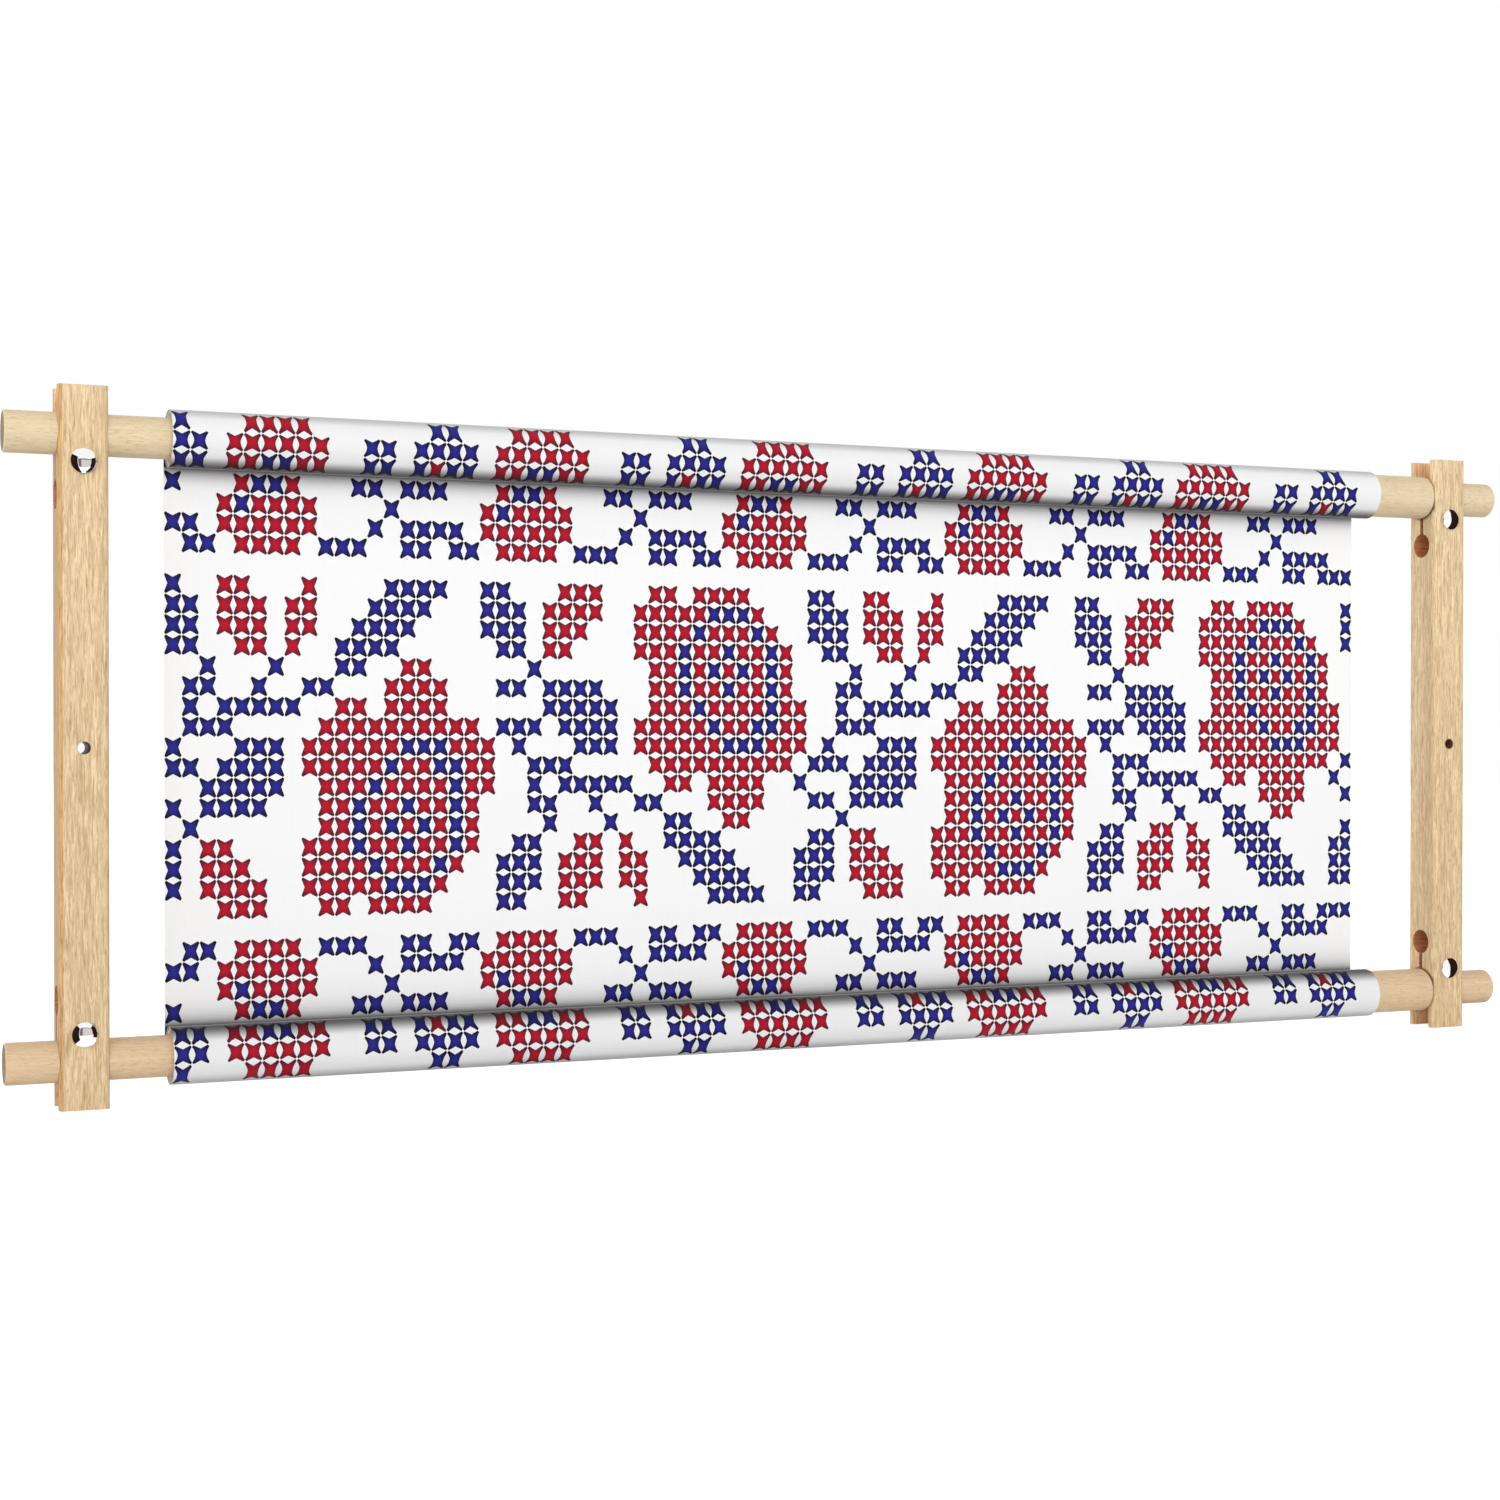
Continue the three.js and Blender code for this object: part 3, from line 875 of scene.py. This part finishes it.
def spray_chart():
    """The middle band's unit, 21 cells wide and 17 tall: a rose, leaves, stems and buds."""
    cells = chart_of(
        (BLUE, 0, (-1, 0), (-1, 1), (-1, 1), (0, 1)),
        (RED, 0, (3, 4), (3, 5), (3, 5), (4, 5)),
        (RED, 0, (8, 8), (7, 8), (7, 8), (7, 7)),
        (BLUE, 0, (13, 16), (12, 15), (11, 14), (10, 13), (10, 11)),
        (BLUE, 4, (2, 2), (1, 2), (1, 1), (1, 3)),
        (BLUE, 4, (6, 6), ((5, 5), (8, 9)), (3, 7)),
        (BLUE, 8, (4, 6), (3, 6), (2, 6), (2, 5)),
        (BLUE, 8, (0, 0), (-1, 1)),
        (BLUE, 10, (-2, -2), (-1, 0), (1, 1)),
        (BLUE, 13, (-1, 0), (-2, 0), (-2, 0), (-2, -1)),
        (RED, 13, (2, 3), (2, 4), (2, 5), (3, 5)),
    )
    cells.update(rose_chart())
    return cells


def border_chart():
    """The border's unit, 16 cells wide and 7 tall: a small rose, leaves and a stem."""
    return chart_of(
        (RED, 0, (4, 7), (3, 8), (3, 8), (4, 7), (3, 8), (3, 8), (4, 7)),
        (BLUE, 2, (5, 6), (5, 6), (4, 4)),
        (BLUE, 1, (11, 12), (11, 12), (11, 12)),
        (BLUE, 0, (15, 16), (14, 17), (14, 17), (14, 16)),
        (RED, 2, (15, 15)),
        (BLUE, 4, (13, 13), (12, 12), (9, 11)),
        (BLUE, 5, (14, 17), ((14, 15), (17, 18))),
    )


def band(chart, width, height, units, flip_every_second=False):
    """A chart repeated across the cloth: {(column, row from the top): colour}."""
    cells = {}
    for unit in range(-1, units):
        for (column, row), colour in chart.items():
            place = unit * width + column
            if 0 <= place < COLUMNS:
                flipped = flip_every_second and unit % 2
                cells[(place, height - 1 - row if flipped else row)] = colour
    return cells


MIDDLE_ROWS = 17
BORDER_ROWS = 7
FIRST_BORDER_ROW = MIDDLE_ROWS // 2 + 2
middle_band = band(spray_chart(), 21, MIDDLE_ROWS, 5, flip_every_second=True)
border_band = band(border_chart(), 16, BORDER_ROWS, 5)
# Where the sewn pattern departs from the repeat
for stem_end in ((19, 6), (61, 6)):
    del middle_band[stem_end]
border_band[(COLUMNS - 1, BORDER_ROWS - 1)] = BLUE

# A cross stitch on the worked side is a star: four blunt arms with waists between them,
# as shares of its half width and half height
STAR_HALF_WIDTH = 0.495 * CELL_WIDTH
STAR_HALF_HEIGHT = 0.495 * CELL_HEIGHT
WAIST_X = 0.625
WAIST_S = 0.622
BLUNT = 0.83
CROWN = 0.42 * MM
SUNK = 0.06 * MM
# (share of the outline, lift, painted dip shade) of a star's edge, its inner ring and its sunk
# edge
ARM_EDGE, WAIST_EDGE = (1, 0.03 * MM, 1.0), (1, 0.03 * MM, 0.6)
ARM_RING, WAIST_RING = (0.62, 0.72 * CROWN, 0.62), (0.72, 0.62 * CROWN, 0.3)
SUNK_EDGE = (0.9, -SUNK, 1.0)

# On the back, the same stitch is two upright strands
STRAND_OFFSET = 0.36 * CELL_WIDTH
STRAND_HALF_WIDTH = 0.95 * MM
STRAND_HALF_HEIGHT = 0.45 * CELL_HEIGHT
STRAND_STATIONS = (-1, -0.55, 0, 0.55, 1)
STRAND_CROWN = 0.2 * MM
STRAND_NARROWING = 0.35
SIDE_LIFT, TOP_LIFT = 0.02 * MM, 0.03 * MM
# Painted shade on a back strand's sides, its top and its ends
SIDE_DIP_SHADE, TOP_DIP_SHADE, END_DIP_SHADE = 0.8, 0.2, 1.0


class Stitches:
    """All stitches of one colour, in one mesh."""

    def __init__(self):
        self.verts, self.faces, self.dips, self.uvs, self.painted_shades = [], [], [], [], []

    def add(self, x, s, side, mirror, points, faces):
        """Lays a stitch of (dx, ds, lift, painted dip shade) points on the cloth; it also takes
        the cloth's painted shade.
        """
        first = len(self.verts)
        for dx, ds, lift, dip in points:
            y, z = cloth_point(s + ds, side, mirror, lift)
            self.verts.append((x + dx, y, z))
            self.dips.append(dip)
            self.painted_shades.append(painted_shade_depth(y, z, FRONT_FACE if side == 1 else 0))
            self.uvs.append((dx + ds, dx - ds if dx * ds >= 0 else dx + ds))
        self.faces += [tuple(first + i for i in face) for face in faces]

    def build(self, name, material):
        mesh = mesh_of(name, self.verts, self.faces)
        add_values(mesh, "dip", self.dips)
        add_values(mesh, "painted_shade", self.painted_shades)
        add_uvs(mesh, "strand", self.uvs)
        dress(outward(mesh), 50, material)
        obj = add_object(name, mesh)
        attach(obj, "cloth")
        return obj


def star_points(half_width, half_height):
    """A star's edge, inner ring and crown, then its sunk edge and centre."""
    outline = [
        (1, BLUNT), (BLUNT, 1), (0, WAIST_S), (-BLUNT, 1), (-1, BLUNT), (-WAIST_X, 0),
        (-1, -BLUNT), (-BLUNT, -1), (0, -WAIST_S), (BLUNT, -1), (1, -BLUNT), (WAIST_X, 0),
    ]

    def ring(arm, waist):
        points = []
        for a, b in outline:
            share, lift, dip = arm if a * b else waist
            points.append((a * half_width * share, b * half_height * share, lift, dip))
        return points

    worked = ring(ARM_EDGE, WAIST_EDGE) + ring(ARM_RING, WAIST_RING) + [(0, 0, CROWN, 0.0)]
    return worked + ring(SUNK_EDGE, SUNK_EDGE) + [(0, 0, -SUNK, 1.0)]


def star_faces():
    n = 12
    centre, sunk = 2 * n, 2 * n + 1
    faces = []
    for i in range(n):
        j = (i + 1) % n
        faces.append((i, j, n + j, n + i))
        faces.append((n + i, n + j, centre))
        faces.append((i, sunk + i, sunk + j, j))
        faces.append((sunk + j, sunk + i, sunk + n))
    return faces


def strand_points(offset):
    """An upright strand as five diamonds along it: side, top, side and underside."""
    points = []
    for share in STRAND_STATIONS:
        ds = share * STRAND_HALF_HEIGHT
        fall = abs(share) ** 3
        lift = STRAND_CROWN * (1 - fall)
        width = STRAND_HALF_WIDTH * (1 - STRAND_NARROWING * fall)
        side_dip_shade, top_dip_shade = (END_DIP_SHADE, END_DIP_SHADE) if fall == 1 else (SIDE_DIP_SHADE, TOP_DIP_SHADE)
        points += [
            (offset - width, ds, SIDE_LIFT, side_dip_shade),
            (offset, ds, TOP_LIFT + lift, top_dip_shade),
            (offset + width, ds, SIDE_LIFT, side_dip_shade),
            (offset, ds, -SUNK, 1.0),
        ]
    return points


def strand_faces():
    faces = [(0, 1, 2, 3), (16, 17, 18, 19)]
    for k in range(4):
        for i in range(4):
            j = (i + 1) % 4
            faces.append((4 * k + i, 4 * k + j, 4 * k + 4 + j, 4 * k + 4 + i))
    return faces


STAR_FACES = star_faces()
STRAND_FACES = strand_faces()
stitches = {RED: Stitches(), BLUE: Stitches()}


def cloth_point(s, side, mirror, lift):
    """A point lifted from the cloth: side 1 is the worked face, -1 the back."""
    rise = side * (SHEET_THICKNESS / 2 + lift)
    if s <= FLAT_REACH:
        point = (PANEL_Y - rise, MIDDLE_Z + s)
    else:
        point = wrap_point(math.degrees((s - FLAT_REACH) / WRAP_TOP), -rise)
    return mirrored(point) if mirror else point


def cell_x(column):
    return CLOTH_LOW.x + (column + 0.5) * CELL_WIDTH


def add_star(colour, x, s, side, mirror, half_height=STAR_HALF_HEIGHT):
    points = star_points(STAR_HALF_WIDTH, half_height)
    stitches[colour].add(x, s, side, mirror, points, STAR_FACES)


def add_back(colour, x, s, mirror):
    for offset in (-STRAND_OFFSET, STRAND_OFFSET):
        stitches[colour].add(x, s, -1, mirror, strand_points(offset), STRAND_FACES)


for (column, row), colour in middle_band.items():
    above = MIDDLE_ROWS // 2 - row
    s = abs(above) * CELL_HEIGHT
    add_star(colour, cell_x(column), s, 1, above < 0)
    add_back(colour, cell_x(column), s, above < 0)

# The border's rows 0 and 1 lie behind the roll, and row 2 is moved up to hide its stars'
# tips there. They show again on the roll's front, between two angles from its middle.
FIRST_SEEN_ROW = 2
TUCKED = 1.2 * MM
ROLL_FRONT = 187
ROLL_ROWS = {0: (-72, -19), 1: (-19, 19), 2: (19, 72)}
for mirror in (False, True):
    for (column, row), colour in border_band.items():
        x = cell_x(column)
        s = (FIRST_BORDER_ROW + BORDER_ROWS - 1 - row) * CELL_HEIGHT
        if row >= FIRST_SEEN_ROW:
            add_star(colour, x, s + (TUCKED if row == FIRST_SEEN_ROW else 0), 1, mirror)
        add_back(colour, x, s, mirror)
        if row in ROLL_ROWS:
            first, last = ROLL_ROWS[row]
            s = FLAT_REACH + WRAP_TOP * math.radians(ROLL_FRONT + (first + last) / 2)
            height = WRAP_TOP * math.radians(last - first) * STAR_HALF_HEIGHT / CELL_HEIGHT
            add_star(colour, x, s, -1, mirror, height)

red_stitches = stitches[RED].build("red_stitches", red_thread)
blue_stitches = stitches[BLUE].build("blue_stitches", blue_thread)


# Clamp hardware
HEAD_RADIUS = 5.3 * MM
HEAD_HEIGHT = 3.7 * MM
HEAD_RIM = 1.3 * MM
HEAD_EASE = 0.15 * MM
HEAD_STEPS = 20
SHANK_RADIUS = 2.0 * MM
THREAD_PITCH = 0.7 * MM
THREAD_DEPTH = 0.24 * MM
THREAD_LEAD = 1 * MM
THREAD_RINGS = 8
CHAMFER_LENGTH = 0.5 * MM
CHAMFER_DEPTH = 0.45 * MM
WASHER_RADIUS = 4.5 * MM
WASHER_BORE = 2.2 * MM
WASHER_EASE = 0.12 * MM
NUT_RADIUS = 4.2 * MM
NUT_TOP_RADIUS = 3.5 * MM
NUT_HEIGHT = 4.8 * MM
NUT_BORE = 2.12 * MM
NUT_EASE = 0.2 * MM
WING_SPAN = NUT_HIGH.z - NUT_LOW.z
WING_HEIGHT = NUT_HIGH.y - NUT_LOW.y
WING_THICKNESS = 2.0 * MM
WING_TIP_RADIUS = 2.3 * MM
WING_TIP_TURN = 162
WING_FOOT = 1.1 * MM
WING_ROOT = 2.9 * MM


def clamp_bolt(side, end):
    name = f"{end}_{side}_clamp_bolt"
    top, tip = BOLT_LOW.y, BOLT_HIGH.y
    seat = top + HEAD_HEIGHT
    cap = HEAD_HEIGHT - HEAD_RIM
    sphere = (HEAD_RADIUS**2 + cap**2) / (2 * cap)
    widest = math.asin(HEAD_RADIUS / sphere)
    turns = [widest * i / HEAD_STEPS for i in range(HEAD_STEPS + 1)]
    profile = [(sphere * math.sin(turn), top + sphere * (1 - math.cos(turn))) for turn in turns]
    profile += [
        (HEAD_RADIUS, top + cap + HEAD_EASE),
        (HEAD_RADIUS, seat - HEAD_EASE),
        (HEAD_RADIUS - HEAD_EASE, seat),
        (SHANK_RADIUS, seat),
    ]
    thread_start = WASHER_HIGH.y - THREAD_LEAD
    fine = THREAD_PITCH / THREAD_RINGS
    count = int((tip - CHAMFER_LENGTH - thread_start) / fine)
    profile += [(SHANK_RADIUS, thread_start + fine * i) for i in range(count + 1)]
    profile += [(SHANK_RADIUS - CHAMFER_DEPTH, tip), (0, tip)]

    def threaded(radius, along, turn):
        if radius != SHANK_RADIUS or along <= thread_start:
            return radius
        phase = ((along - thread_start) / THREAD_PITCH - turn / (2 * math.pi)) % 1
        return radius - THREAD_DEPTH * abs(2 * phase - 1)

    centre = (BAR_X[side], BOLT_Z[end])
    bolt = lathe(f"{name}_steel", profile, "Y", centre, sides=64, shape=threaded)
    dress(bolt.data, 40, chrome)
    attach(bolt, f"{side}_bar")
    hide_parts(name)


def ring_profile(bore, radius, top_radius, low, high, ease, mouth):
    """A ring with eased corners; mouth is the easing of the bore's far end."""
    return [
        (bore, low + ease), (bore + ease, low), (radius - ease, low), (radius, low + ease),
        (top_radius, high - ease), (top_radius - ease, high),
        (bore + mouth, high), (bore, high - mouth),
    ]


def washer(side, end):
    name = f"{end}_{side}_washer"
    profile = ring_profile(
        WASHER_BORE, WASHER_RADIUS, WASHER_RADIUS, WASHER_LOW.y, WASHER_HIGH.y,
        ease=WASHER_EASE, mouth=WASHER_EASE,
    )
    centre = (BAR_X[side], BOLT_Z[end])
    piece = lathe(f"{name}_steel", profile, "Y", centre, sides=64, closed=True)
    dress(piece.data, 35, zinc)
    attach(piece, f"{side}_bar")
    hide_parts(name)


def curve_between(start, control, end, steps):
    """Points on a quadratic curve."""
    return [
        tuple(
            (1 - t) ** 2 * a + 2 * t * (1 - t) * b + t * t * c
            for a, b, c in zip(start, control, end)
        )
        for t in (i / steps for i in range(steps + 1))
    ]


def wing_outline():
    """One wing in (out, up) pairs, from the boss out and back."""
    tip_u, tip_v = WING_SPAN / 2 - WING_TIP_RADIUS, WING_HEIGHT - WING_TIP_RADIUS
    outline = [(WING_ROOT, WING_FOOT)]
    outline += curve_between(
        (NUT_RADIUS, WING_FOOT), (WING_SPAN / 2, WING_FOOT), (WING_SPAN / 2, tip_v), 10
    )
    outline += arc(tip_u, tip_v, WING_TIP_RADIUS, 0, WING_TIP_TURN, 14)[1:]
    outline += curve_between(
        outline[-1], (NUT_TOP_RADIUS, NUT_HEIGHT), (WING_ROOT, NUT_HEIGHT - WING_FOOT / 2), 10
    )[1:]
    return outline


def wing_nut(side, end):
    name = f"{end}_{side}_wing_nut"
    x, z = BAR_X[side], BOLT_Z[end]
    low = NUT_LOW.y
    profile = ring_profile(
        NUT_BORE, NUT_RADIUS, NUT_TOP_RADIUS, low, low + NUT_HEIGHT,
        ease=NUT_EASE, mouth=2 * NUT_EASE,
    )
    nut = lathe(f"{name}_steel", profile, "Y", (x, z), sides=48, closed=True)
    half = WING_THICKNESS / 2
    for sign in (1, -1):
        outline = [(low + v, z + sign * u) for u, v in wing_outline()]
        boolean(nut, prism("wing", outline, "X", x - half, x + half), "UNION")
    bevel(nut, width=0.45 * MM, segments=3, angle=50)
    # One material, whatever slots the unions have left
    nut.data.materials.clear()
    dress(nut.data, 38, zinc)
    for face in nut.data.polygons:
        face.material_index = 0
    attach(nut, name)
    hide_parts(name)


for side in SIDES:
    for end in ENDS:
        clamp_bolt(side, end)
        washer(side, end)
        wing_nut(side, end)


# Floor, world and light
FLOOR_CORNERS = ((-4, -4), (4, -4), (4, 7), (-4, 7))
AMBIENT = 0.48
BAND_FRONT = 0.52
BAND_LEFT = 2.45
WHITE = (1, 1, 1, 1)


def plane(name, corners, material):
    obj = add_object(name, mesh_of(name, corners, [tuple(range(len(corners)))]))
    obj.data.materials.append(material)
    return obj


def surface_graph(name):
    """A new material and its graph, with the output alone."""
    material = bpy.data.materials.new(name)
    material.use_nodes = True
    graph = Graph(material.node_tree)
    graph.nodes.remove(graph.nodes["Principled BSDF"])
    return material, graph, graph.nodes["Material Output"].inputs["Surface"]


def floor_material():
    """The floor looks nearly white but still takes shadows, and lights the object as a
    plain grey floor does."""
    material, graph, surface = surface_graph("pale_floor")
    plain = graph.node("ShaderNodeBsdfDiffuse", Color=(0.8, 0.8, 0.8, 1))
    shadowed = graph.node("ShaderNodeBsdfDiffuse", Color=(0.3, 0.3, 0.3, 1))
    glow = graph.node("ShaderNodeEmission", Color=(0.9, 0.9, 0.9, 1), Strength=1.0)
    shown = graph.node("ShaderNodeAddShader")
    graph.links.new(shadowed.outputs[0], shown.inputs[0])
    graph.links.new(glow.outputs[0], shown.inputs[1])
    graph.links.new(graph.by_ray(plain.outputs[0], shown.outputs[0]), surface)
    return material


plane("floor", [(x, y, cad_low[2]) for x, y in FLOOR_CORNERS], floor_material())

# Softboxes stand all round at the height of the object, more of them to the left. The
# camera and mirrors see a white backdrop instead.
world = bpy.data.worlds.new("studio")
scene.world = world
world.use_nodes = True
sky = Graph(world.node_tree)
sky.nodes.clear()
x, _, z = sky.split(sky.node("ShaderNodeTexCoord").outputs["Generated"])
level = sky.math("SUBTRACT", 1.0, sky.math("ABSOLUTE", z))
level = sky.math("MULTIPLY", level, level)
leftward = sky.math("MAXIMUM", sky.math("MULTIPLY", x, -1.0), 0.0)
strength = sky.math("MULTIPLY_ADD", leftward, BAND_LEFT - BAND_FRONT, BAND_FRONT)
strength = sky.math("MULTIPLY_ADD", strength, level, AMBIENT)
softboxes = sky.node("ShaderNodeBackground", Color=WHITE, Strength=strength)
backdrop = sky.node("ShaderNodeBackground", Color=WHITE)
seen = sky.by_ray(softboxes.outputs[0], backdrop.outputs[0])
sky.node("ShaderNodeOutputWorld", Surface=seen)


def sun(name, direction, strength, angle):
    data = bpy.data.lights.new(name, "SUN")
    data.energy = strength
    data.angle = math.radians(angle)
    obj = bpy.data.objects.new(name, data)
    obj.rotation_euler = Vector(direction).to_track_quat("-Z", "Y").to_euler()
    obj.visible_glossy = False
    scene.collection.objects.link(obj)


sun("key", direction=(0.10, 1.0, -0.10), strength=1.38, angle=40)
sun("back_fill", direction=(-0.3, -1.0, -0.25), strength=1.05, angle=60)


# Cards that only mirrors see, so that the polished domes have something to reflect
DARK_CARD = (0.022, 0.010, 0.007)
LINE_CARD = (0.12, 0.10, 0.09)
SHADED_CARD = (0.20, 0.17, 0.16)
PALE_CARD = (0.68, 0.66, 0.64)
LOW_CARD_HEIGHT = 2 * MM


def card(name, corners, colour):
    """A glowing panel for glossy rays only."""
    material, graph, surface = surface_graph(f"{name}_glow")
    glow = graph.node("ShaderNodeEmission", Color=(*colour, 1))
    graph.links.new(glow.outputs[0], surface)
    obj = plane(name, corners, material)
    for ray in ("camera", "diffuse", "shadow", "transmission", "volume_scatter"):
        setattr(obj, f"visible_{ray}", False)


def upright_card(name, start, end, high, colour=DARK_CARD, low=0.001):
    """A card between two (x, y) places and two heights."""
    card(name, [(*start, low), (*end, low), (*end, high), (*start, high)], colour)


def low_card(name, *outline):
    card(name, [(x, y, LOW_CARD_HEIGHT) for x, y in outline], DARK_CARD)


upright_card("dark_card_right", (0.434, -0.49), (0.434, 0.012), 0.53)
upright_card("dark_card_middle", (0.0, -0.277), (0.0, -0.02), 0.385)
upright_card("dark_card_left", (-0.75, -0.52), (-0.75, 0.0), 0.56)
low_card("low_card_right", (0.36, -0.075), (0.434, -0.49), (0.434, 0.012), (0.36, 0.012))
low_card("low_card_middle", (-0.27, -0.071), (0, -0.22), (0, 0.012), (-0.27, 0.012))
low_card("low_card_left", (-0.375, -0.05), (-0.375, 0.012), (-0.75, 0.012), (-0.75, -0.52))
upright_card("pale_card_front", (-0.42, -0.277), (0.0, -0.277), 0.3, PALE_CARD)
upright_card("shaded_card_front", (-0.535, -0.277), (-0.42, -0.277), 0.3, SHADED_CARD)
upright_card("line_card_front", (-0.535, -0.277), (0.0, -0.277), 0.332, LINE_CARD, low=0.3)
